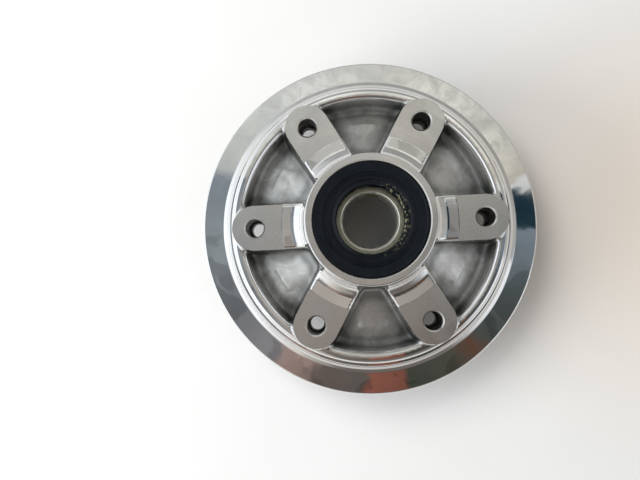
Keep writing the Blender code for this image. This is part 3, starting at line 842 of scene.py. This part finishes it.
def make_o_ring():
    radius = (O_RING_HIGH.z - O_RING_LOW.z) / 2
    centre = (O_RING_HIGH.x - radius, (O_RING_HIGH.z + O_RING_LOW.z) / 2)
    return turned("spigot_o_ring", arc(centre, radius, 0, 345, 23), sharp=180)


# ---- Materials


def new_material(name, colour, roughness, metallic):
    made = bpy.data.materials.new(name)
    made.use_nodes = True
    tree = made.node_tree
    shader = tree.nodes["Principled BSDF"]
    shader.inputs["Base Color"].default_value = (*colour, 1)
    shader.inputs["Roughness"].default_value = roughness
    shader.inputs["Metallic"].default_value = metallic
    return made, tree, shader


def node(tree, kind, inputs=None, **settings):
    made = tree.nodes.new(kind)
    for key, value in settings.items():
        setattr(made, key, value)
    for key, value in (inputs or {}).items():
        if isinstance(value, bpy.types.NodeSocket):
            tree.links.new(value, made.inputs[key])
        else:
            made.inputs[key].default_value = value
    return made


def feed(shader, name, socket):
    shader.id_data.links.new(socket, shader.inputs[name])


def place_of(tree):
    """The socket that gives a point's place on the piece, in metres."""
    return node(tree, "ShaderNodeTexCoord").outputs["Object"]


def noise_of(tree, place, scale, detail=3.0, roughness=0.5, distortion=0.0):
    made = node(tree, "ShaderNodeTexNoise", {
        "Vector": place, "Scale": scale, "Detail": detail, "Roughness": roughness, "Distortion": distortion,
    })
    return made.outputs["Fac"]


def remap(tree, value, from_low, from_high, to_low=0, to_high=1):
    made = node(tree, "ShaderNodeMapRange", {
        "Value": value, "From Min": from_low, "From Max": from_high, "To Min": to_low, "To Max": to_high,
    })
    return made.outputs["Result"]


def math_of(tree, operation, a, b):
    return node(tree, "ShaderNodeMath", {0: a, 1: b}, operation=operation).outputs[0]


def mix_value(tree, share, a, b):
    return node(tree, "ShaderNodeMix", {"Factor": share, "A": a, "B": b}, data_type="FLOAT").outputs["Result"]


def mix_colour(tree, share, a, b):
    made = node(tree, "ShaderNodeMix", data_type="RGBA")
    for socket, value in ((made.inputs[0], share), (made.inputs[6], a), (made.inputs[7], b)):
        if isinstance(value, bpy.types.NodeSocket):
            tree.links.new(value, socket)
        else:
            socket.default_value = value if socket.type == "VALUE" else (*value, 1)
    return made.outputs[2]


def bump(tree, height, distance, strength=1.0, normal=None):
    inputs = {"Height": height, "Distance": distance, "Strength": strength}
    if normal:
        inputs["Normal"] = normal
    return node(tree, "ShaderNodeBump", inputs).outputs["Normal"]


def attribute(tree, name):
    return node(tree, "ShaderNodeAttribute", attribute_name=name).outputs["Fac"]


def aluminium_skin():
    """Buffed casting: mirror bright outside, satin where it stays as cast, polish residue and painted shade
    dark in the corners.
    """
    made, tree, shader = new_material("polished_casting", (0.86, 0.87, 0.88), 0.1, 1)
    place = place_of(tree)
    cast = attribute(tree, "cast")
    corner_residue_and_shade = attribute(tree, "corner_residue_and_shade")
    haze = noise_of(tree, place, 55, 5, 0.6, 0.4)
    blotch = noise_of(tree, place, 95, 5, 0.65, 0.8)
    speck = noise_of(tree, place, 420, 3, 0.6)
    across = node(tree, "ShaderNodeSeparateXYZ", {"Vector": place})
    patchy = math_of(tree, "ADD", across.outputs["Y"], math_of(tree, "MULTIPLY", blotch, 30 * MM))
    dulled = remap(tree, patchy, 40 * MM, 65 * MM)
    height = remap(tree, across.outputs["Z"], FLANGE_FRONT_Z + 4 * MM, FLANGE_FRONT_Z + 1 * MM)
    dulled = math_of(tree, "MULTIPLY", dulled, height)
    above = math_of(tree, "SUBTRACT", 1.0, height)
    boss_top = remap(tree, across.outputs["Z"], BOSS_TOP_Z - 0.5 * MM, BOSS_TOP_Z - 0.1 * MM, 0, 0.9)
    dulled = math_of(tree, "MAXIMUM", dulled, boss_top)
    mirror_rough = remap(tree, haze, 0.4, 0.7, 0.015, 0.05)
    buffed = mix_value(tree, dulled, mirror_rough, remap(tree, blotch, 0.35, 0.7, 0.12, 0.30))
    rough = mix_value(tree, cast, buffed, remap(tree, blotch, 0.3, 0.7, 0.33, 0.48))
    # Painted shade: corners and creases, found by how closed in they are, are darkened, partly for polish
    # residue and partly for the shade that falls there.
    crust_and_shade = math_of(tree, "ADD", corner_residue_and_shade, math_of(tree, "MULTIPLY", blotch, 0.22))
    film_and_shade = math_of(tree, "MULTIPLY", remap(tree, crust_and_shade, 0.60, 0.85, 0, 0.6), above)
    residue_and_shade = mix_value(tree, cast, film_and_shade, remap(tree, crust_and_shade, 0.40, 0.80, 0, 0.85))
    feed(shader, "Roughness", mix_value(tree, residue_and_shade, rough, 0.5))
    bright = mix_colour(tree, remap(tree, haze, 0.3, 0.7), (0.93, 0.93, 0.925), (0.85, 0.855, 0.86))
    dull = mix_colour(tree, remap(tree, blotch, 0.35, 0.65), (0.90, 0.90, 0.88), (0.76, 0.755, 0.73))
    pit = math_of(tree, "MULTIPLY", remap(tree, speck, 0.27, 0.22), cast)
    metal = mix_colour(tree, pit, mix_colour(tree, cast, bright, dull), (0.08, 0.08, 0.07))
    metal = mix_colour(tree, math_of(tree, "MULTIPLY", boss_top, 0.45), metal, (0.66, 0.65, 0.63))
    # The near-black colour is the painted shade and polish residue of the corners.
    feed(shader, "Base Color", mix_colour(tree, residue_and_shade, metal, (0.06, 0.066, 0.062)))
    ripple = bump(tree, noise_of(tree, place, 42, 2, 0.4), 0.00016)
    grain_height = mix_value(tree, cast, 0.5, noise_of(tree, place, 420, 5, 0.65))
    grain = bump(tree, grain_height, 0.00010, 0.6, ripple)
    scratch = bump(tree, noise_of(tree, place, 900, 2), 0.000003, 0.5, grain)
    feed(shader, "Normal", scratch)
    return made


def distance_of(tree, place, other):
    return node(tree, "ShaderNodeVectorMath", {0: place, 1: other}, operation="DISTANCE").outputs["Value"]


def length_of(tree, place):
    return node(tree, "ShaderNodeVectorMath", {0: place}, operation="LENGTH").outputs["Value"]


def radius_of(tree, place):
    """Distance from the hub axis."""
    flat = node(tree, "ShaderNodeVectorMath", {0: place, 1: (1, 1, 0)}, operation="MULTIPLY").outputs[0]
    return length_of(tree, flat)


def aluminium_machined():
    """Faced aluminium: uneven turning lines about the hub axis."""
    made, tree, shader = new_material("faced_aluminium", (0.80, 0.79, 0.77), 0.3, 1)
    place = place_of(tree)
    across = node(tree, "ShaderNodeCombineXYZ", {"X": radius_of(tree, place)}).outputs["Vector"]
    lines = noise_of(tree, across, 320, 2, 0.5)
    haze = noise_of(tree, place, 90, 3)
    streak = mix_value(tree, 0.25, haze, lines)
    feed(shader, "Roughness", remap(tree, streak, 0.3, 0.7, 0.22, 0.34))
    tone = mix_colour(tree, remap(tree, streak, 0.3, 0.7), (0.80, 0.785, 0.765), (0.72, 0.71, 0.69))
    feed(shader, "Base Color", tone)
    feed(shader, "Normal", bump(tree, lines, 0.000004, 0.3))
    return made


def aluminium_drilled():
    """Walls of the bolt holes: dull, oily, ringed by the drill, and darkened with painted shade."""
    made, tree, shader = new_material("drilled_aluminium_painted_shade", (0.24, 0.24, 0.23), 0.4, 1)
    place = place_of(tree)
    rings = node(tree, "ShaderNodeTexWave", {
        "Vector": place, "Scale": 330, "Distortion": 1.0, "Detail": 2, "Detail Scale": 2.0,
    }, wave_type="BANDS", bands_direction="Z").outputs["Fac"]
    oil = noise_of(tree, place, 260, 4, 0.6)
    # Painted shade: both tones are far darker than the faced aluminium and stand in for the shade inside the
    # holes; the noise between them is oil.
    tone = mix_colour(tree, remap(tree, oil, 0.35, 0.65), (0.26, 0.26, 0.25), (0.12, 0.12, 0.12))
    feed(shader, "Base Color", tone)
    feed(shader, "Roughness", remap(tree, oil, 0.3, 0.7, 0.3, 0.5))
    feed(shader, "Normal", bump(tree, rings, 0.00008, 0.8))
    return made


def steel(name, colour, stain, rough_low, rough_high, scale=150):
    """Bare steel with a film of oil or an uneven finish."""
    made, tree, shader = new_material(name, colour, rough_low, 1)
    place = place_of(tree)
    patch = noise_of(tree, place, scale, 4, 0.6, 0.5)
    share = remap(tree, patch, 0.4, 0.65)
    feed(shader, "Base Color", mix_colour(tree, share, colour, stain))
    feed(shader, "Roughness", remap(tree, patch, 0.3, 0.7, rough_low, rough_high))
    feed(shader, "Normal", bump(tree, noise_of(tree, place, scale * 6, 3), 0.00001, 0.5))
    return made


def rubber(name):
    """Moulded nitrile rubber, wiped with oil."""
    made, tree, shader = new_material(name, (0.016, 0.018, 0.022), 0.4, 0)
    shader.inputs["Specular IOR Level"].default_value = 0.28
    place = place_of(tree)
    wipe = noise_of(tree, place, 110, 5, 0.65, 1.2)
    feed(shader, "Roughness", remap(tree, wipe, 0.35, 0.7, 0.28, 0.55))
    share = remap(tree, wipe, 0.4, 0.7)
    tone = mix_colour(tree, share, (0.0010, 0.0030, 0.0060), (0.0035, 0.0060, 0.0100))
    feed(shader, "Base Color", tone)
    feed(shader, "Normal", bump(tree, noise_of(tree, place, 1500, 3), 0.00002, 0.6))
    return made, tree, shader


def greased_rubber():
    """The seal's rubber, with specks of old grease at its lips."""
    made, tree, shader = rubber("greased_rubber")
    place = place_of(tree)
    at_lip = remap(tree, radius_of(tree, place), 21.5 * MM, 19.5 * MM)
    along = node(tree, "ShaderNodeSeparateXYZ", {"Vector": place}).outputs["X"]
    side = remap(tree, along, -8 * MM, 14 * MM, -0.12, 0.06)
    speck = math_of(tree, "ADD", noise_of(tree, place, 700, 3, 0.6), side)
    grease = math_of(tree, "MULTIPLY", remap(tree, speck, 0.60, 0.66), at_lip)
    old = shader.inputs["Base Color"].links[0].from_socket
    feed(shader, "Base Color", mix_colour(tree, grease, old, (0.24, 0.235, 0.15)))
    old = shader.inputs["Roughness"].links[0].from_socket
    feed(shader, "Roughness", mix_value(tree, grease, old, 0.15))
    return made


def greased_race():
    """The inner ring: a bright bevel at the bore and a face under old olive grease."""
    made, tree, shader = new_material("greased_steel", (0.42, 0.41, 0.34), 0.35, 0.8)
    place = place_of(tree)
    smear = noise_of(tree, place, 240, 5, 0.65, 1.5)
    share = remap(tree, smear, 0.38, 0.66)
    face = mix_colour(tree, share, (0.28, 0.28, 0.215), (0.44, 0.43, 0.35))
    bevel = remap(tree, radius_of(tree, place), 16.3 * MM, 15.9 * MM)
    metal = mix_colour(tree, bevel, face, (0.86, 0.85, 0.77))
    blob = distance_of(tree, place, (2 * MM, 15 * MM, 48 * MM))
    blob = math_of(tree, "ADD", blob, math_of(tree, "MULTIPLY", smear, 6 * MM))
    grease = remap(tree, blob, 8.5 * MM, 7 * MM)
    feed(shader, "Base Color", mix_colour(tree, grease, metal, (0.36, 0.31, 0.05)))
    rough = mix_value(tree, bevel, remap(tree, smear, 0.3, 0.7, 0.22, 0.5), 0.12)
    feed(shader, "Roughness", rough)
    feed(shader, "Normal", bump(tree, smear, 0.00015, 0.6))
    return made


def assign(obj, *materials):
    obj.data.materials.clear()
    for made in materials:
        obj.data.materials.append(made)


def split_faces(obj):
    """Gives the faces that a cutter or a drill has made their own materials."""
    mesh = obj.data
    x, y, z = read_all(mesh.polygons, "center", 3).T
    up = read_all(mesh.polygons, "normal", 3)[:, 2]
    r = np.hypot(x, y)
    off = off_nearest(x, y, ARM_COUNT)
    from_hole = np.hypot(r * np.cos(off) - BOLT_CIRCLE_R, r * np.sin(off))
    lug_face = (np.abs(z - LUG_FACE_Z) < 0.05 * MM) & (up > 0.9)
    in_hole = (from_hole < BOLT_HOLE_R + BOLT_HOLE_CHAMFER + 0.3 * MM) & (np.abs(up) < 0.95)
    in_hole &= z > PLATE_REAR_Z - 1 * MM
    chamfer = in_hole & (z > LUG_FACE_Z - BOLT_HOLE_CHAMFER - 0.1 * MM)
    in_bore = (r < HOUSING_R + 1.6 * MM) & (z < BOSS_TOP_Z - 0.05 * MM) & (z > 0)
    rear = (z < 0.2 * MM) | ((np.abs(z - FLANGE_REAR_Z) < 0.1 * MM) & (up < -0.9))
    index = np.where(lug_face | in_bore | rear | chamfer, 1, np.where(in_hole, 2, 0))
    mesh.polygons.foreach_set("material_index", index.astype(np.int32))
    mesh.update()


# ---- Assembly


def ride(obj, body, slot, *nodes):
    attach(obj, body)
    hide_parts(*nodes)


def build_pieces():
    casting = make_casting()
    assign(casting, aluminium_skin(), aluminium_machined(), aluminium_drilled())
    split_faces(casting)
    ride(casting, "carrier", "cast_aluminium", "carrier_casting")

    race = steel("ground_steel", (0.60, 0.60, 0.58), (0.50, 0.49, 0.44), 0.12, 0.3)
    ring = make_inner_ring()
    assign(ring, greased_race())
    ride(ring, "inner_race", "bearing_steel", "bearing_inner_ring")
    ring = make_outer_ring()
    assign(ring, race)
    ride(ring, "carrier", "bearing_steel", "bearing_outer_ring")

    pressed = steel("pressed_steel", (0.55, 0.54, 0.51), (0.42, 0.40, 0.34), 0.25, 0.45)
    for name, node_name, side in (("cage_half_front", "cage_front", 1), ("cage_half_rear", "cage_rear", -1)):
        half = make_cage_half(name, side)
        assign(half, pressed)
        ride(half, "ball_cage", "cage_steel", node_name)
    for i, angle in enumerate(spaced(BALL_COUNT, 0.5)):
        rivet = make_rivet(f"rivet_{i + 1}", angle)
        assign(rivet, pressed)
        ride(rivet, "ball_cage", "cage_steel", f"cage_rivet_{i + 1}")
    lapped = steel("lapped_steel", (0.74, 0.74, 0.75), (0.66, 0.66, 0.66), 0.04, 0.12)
    for i, angle in enumerate(spaced(BALL_COUNT)):
        ball = make_ball(f"bearing_ball_{i + 1}", angle)
        assign(ball, lapped)
        ride(ball, f"rolling_ball_{i + 1}", "ball_steel", f"ball_{i + 1}")

    dark = steel("phosphated_steel", (0.16, 0.16, 0.17), (0.10, 0.10, 0.10), 0.3, 0.5)
    circlip, case, garter = make_circlip(), make_seal_case(), make_garter()
    named = ((circlip, "bearing_circlip"), (case, "seal_case"), (garter, "garter_spring"))
    for made, node_name in named:
        assign(made, dark)
        ride(made, "carrier", "spring_steel", node_name)
    seal, o_ring = make_seal_rubber(), make_o_ring()
    assign(seal, greased_rubber())
    ride(seal, "carrier", "seal_rubber", "seal_rubber")
    assign(o_ring, rubber("nitrile_rubber")[0])
    ride(o_ring, "carrier", "seal_rubber", "rear_o_ring")


# ---- Studio


def make_floor():
    bm = bmesh.new()
    bmesh.ops.create_grid(bm, x_segments=1, y_segments=1, size=2.5)
    floor = finished("floor", bm)
    floor.location.z = -0.05 * MM
    made, tree, shader = new_material("floor_paint_and_shadow", (0.86, 0.86, 0.85), 0.6, 0)
    place = place_of(tree)
    mottle = noise_of(tree, place, 9, 4, 0.55)
    pale = mix_colour(tree, remap(tree, mottle, 0.3, 0.7), (0.85, 0.85, 0.845), (0.82, 0.82, 0.815))
    # Painted shadow: a warm, darker patch to the right of the hub stands in for its soft shadow on the floor.
    from_painted_shadow = distance_of(tree, place, (0.20, 0.0, 0.0))
    tone = mix_colour(tree, remap(tree, from_painted_shadow, 0.17, 0.02), pale, (0.84, 0.755, 0.665))
    feed(shader, "Base Color", tone)
    assign(floor, made)


def area_light(name, location, size, power, colour):
    data = bpy.data.lights.new(name, "AREA")
    data.shape = "RECTANGLE"
    data.size, data.size_y = size
    data.energy = power
    data.color = colour
    light = placed(name, data)
    light.location = location
    aim = Vector((0, 0, 0.03)) - Vector(location)
    light.rotation_euler = aim.to_track_quat("-Z", "Y").to_euler()
    light.visible_camera = False
    light.visible_glossy = False


def ramp(tree, share, stops):
    """A colour ramp with (share, colour) stops, evenly blended."""
    made = node(tree, "ShaderNodeValToRGB", {"Fac": share})
    elements = made.color_ramp.elements
    while len(elements) > 1:
        elements.remove(elements[-1])
    elements[0].position, elements[0].color = stops[0][0], (*stops[0][1], 1)
    for position, colour in stops[1:]:
        elements.new(position).color = (*colour, 1)
    return made.outputs["Color"]


def make_world():
    """A soft room: pale low walls, a mottled ceiling, bright on the left, dim and warm in front."""
    world = bpy.data.worlds.new("room")
    bpy.context.scene.world = world
    world.use_nodes = True
    tree = world.node_tree
    background = tree.nodes["Background"]
    direction = node(tree, "ShaderNodeTexCoord").outputs["Generated"]
    split = node(tree, "ShaderNodeSeparateXYZ", {"Vector": direction})
    x, y, z = (split.outputs[k] for k in "XYZ")
    high = math_of(tree, "MAXIMUM", z, 0.05)
    # The ceiling's patches are laid out around a point a little in front of the hub.
    ceiling_x = math_of(tree, "SUBTRACT", math_of(tree, "DIVIDE", x, high), 0.053)
    ceiling_y = math_of(tree, "SUBTRACT", math_of(tree, "DIVIDE", y, high), 0.091)
    turn = math_of(tree, "DIVIDE", math_of(tree, "ARCTAN2", ceiling_y, ceiling_x), math.tau)
    warp = remap(tree, noise_of(tree, direction, 7, 4, 0.6), 0.25, 0.75, -0.016, 0.016)
    share = math_of(tree, "FRACT", math_of(tree, "ADD", math_of(tree, "ADD", turn, warp), 1.0), 0.0)
    ceiling = ramp(tree, share, [
        (0.000, (0.010, 0.028, 0.042)),
        (0.030, (0.015, 0.035, 0.050)),
        (0.036, (0.78, 0.80, 0.80)),
        (0.050, (0.52, 0.49, 0.42)),
        (0.080, (0.72, 0.70, 0.62)),
        (0.120, (0.74, 0.73, 0.67)),
        (0.180, (0.90, 0.89, 0.81)),
        (0.230, (0.62, 0.61, 0.56)),
        (0.290, (0.84, 0.84, 0.80)),
        (0.350, (0.80, 0.82, 0.79)),
        (0.400, (0.58, 0.59, 0.54)),
        (0.428, (0.60, 0.61, 0.59)),
        (0.433, (0.22, 0.25, 0.29)),
        (0.500, (0.28, 0.32, 0.34)),
        (0.580, (0.19, 0.20, 0.21)),
        (0.640, (0.24, 0.23, 0.24)),
        (0.648, (0.42, 0.31, 0.28)),
        (0.680, (0.36, 0.26, 0.23)),
        (0.688, (0.14, 0.11, 0.10)),
        (0.742, (0.10, 0.09, 0.08)),
        (0.748, (0.23, 0.09, 0.065)),
        (0.785, (0.18, 0.07, 0.05)),
        (0.792, (0.05, 0.055, 0.045)),
        (0.832, (0.075, 0.075, 0.06)),
        (0.860, (0.12, 0.06, 0.04)),
        (0.880, (0.07, 0.08, 0.075)),
        (0.940, (0.11, 0.13, 0.135)),
        (0.980, (0.20, 0.24, 0.28)),
        (0.986, (0.015, 0.035, 0.050)),
    ])
    flat_place = node(tree, "ShaderNodeCombineXYZ", {"X": ceiling_x, "Y": ceiling_y}).outputs["Vector"]
    off_centre = length_of(tree, flat_place)
    middle = mix_colour(tree, 0.7, ceiling, (0.38, 0.36, 0.335))
    ceiling = mix_colour(tree, remap(tree, off_centre, 0.18, 0.24), middle, ceiling)
    upper = ramp(tree, share, [
        (0.00, (0.42, 0.41, 0.39)),
        (0.08, (0.32, 0.31, 0.29)),
        (0.20, (0.34, 0.34, 0.33)),
        (0.32, (0.42, 0.42, 0.42)),
        (0.40, (0.85, 0.88, 0.90)),
        (0.50, (1.25, 1.33, 1.40)),
        (0.60, (1.10, 1.14, 1.16)),
        (0.66, (0.70, 0.66, 0.60)),
        (0.71, (0.15, 0.13, 0.12)),
        (0.84, (0.17, 0.15, 0.14)),
        (0.89, (0.80, 0.82, 0.84)),
        (0.955, (0.90, 0.93, 0.97)),
        (0.965, (0.40, 0.41, 0.42)),
        (1.00, (0.42, 0.41, 0.39)),
    ])
    low = ramp(tree, share, [
        (0.00, (0.58, 0.54, 0.49)),
        (0.30, (0.72, 0.72, 0.70)),
        (0.50, (0.95, 0.97, 0.99)),
        (0.68, (0.66, 0.64, 0.62)),
        (0.85, (0.50, 0.48, 0.45)),
        (1.00, (0.58, 0.54, 0.49)),
    ])
    bands = low
    zenith = (0.41, 0.375, 0.34)
    for start, end, colour in ((0.22, 0.45, upper), (0.86, 0.935, ceiling), (0.982, 0.995, zenith)):
        inputs = {"Value": z, "From Min": start, "From Max": end}
        blend = node(tree, "ShaderNodeMapRange", inputs, interpolation_type="SMOOTHSTEP")
        bands = mix_colour(tree, blend.outputs["Result"], bands, colour)
    mottle = remap(tree, noise_of(tree, direction, 5, 4, 0.55), 0.3, 0.7, 0.85, 1.15)
    patches = remap(tree, noise_of(tree, direction, 11, 3, 0.5, 0.6), 0.56, 0.575, 1, 0.72)
    mottle = math_of(tree, "MULTIPLY", mottle, patches)
    mottle = mix_value(tree, remap(tree, z, 0.72, 0.86), 1.0, mottle)
    bands = node(tree, "ShaderNodeVectorMath", {0: bands, "Scale": mottle}, operation="SCALE").outputs[0]
    feed(background, "Color", bands)
    background.inputs["Strength"].default_value = 1.0


def make_camera():
    data = bpy.data.cameras.new("camera")
    data.lens = 28
    data.sensor_width = 36
    data.clip_start, data.clip_end = 0.01, 20
    camera = placed("camera", data)
    camera.location = (-15.69 * MM, -26.99 * MM, 325.2 * MM)
    camera.rotation_euler = Euler((0.06392, 0.04745, -0.04578), "XYZ")
    bpy.context.scene.camera = camera


def make_studio():
    make_floor()
    make_world()
    area_light("window", (-1.25, -0.3, 0.40), (1.2, 0.5), 20, (0.97, 0.985, 1.0))
    area_light("room_lamp", (-0.9, 0.8, 1.2), (0.9, 0.9), 13.5, (1.0, 0.985, 0.96))
    make_camera()
    bpy.context.scene.view_settings.view_transform = "Standard"


build_pieces()
make_studio()
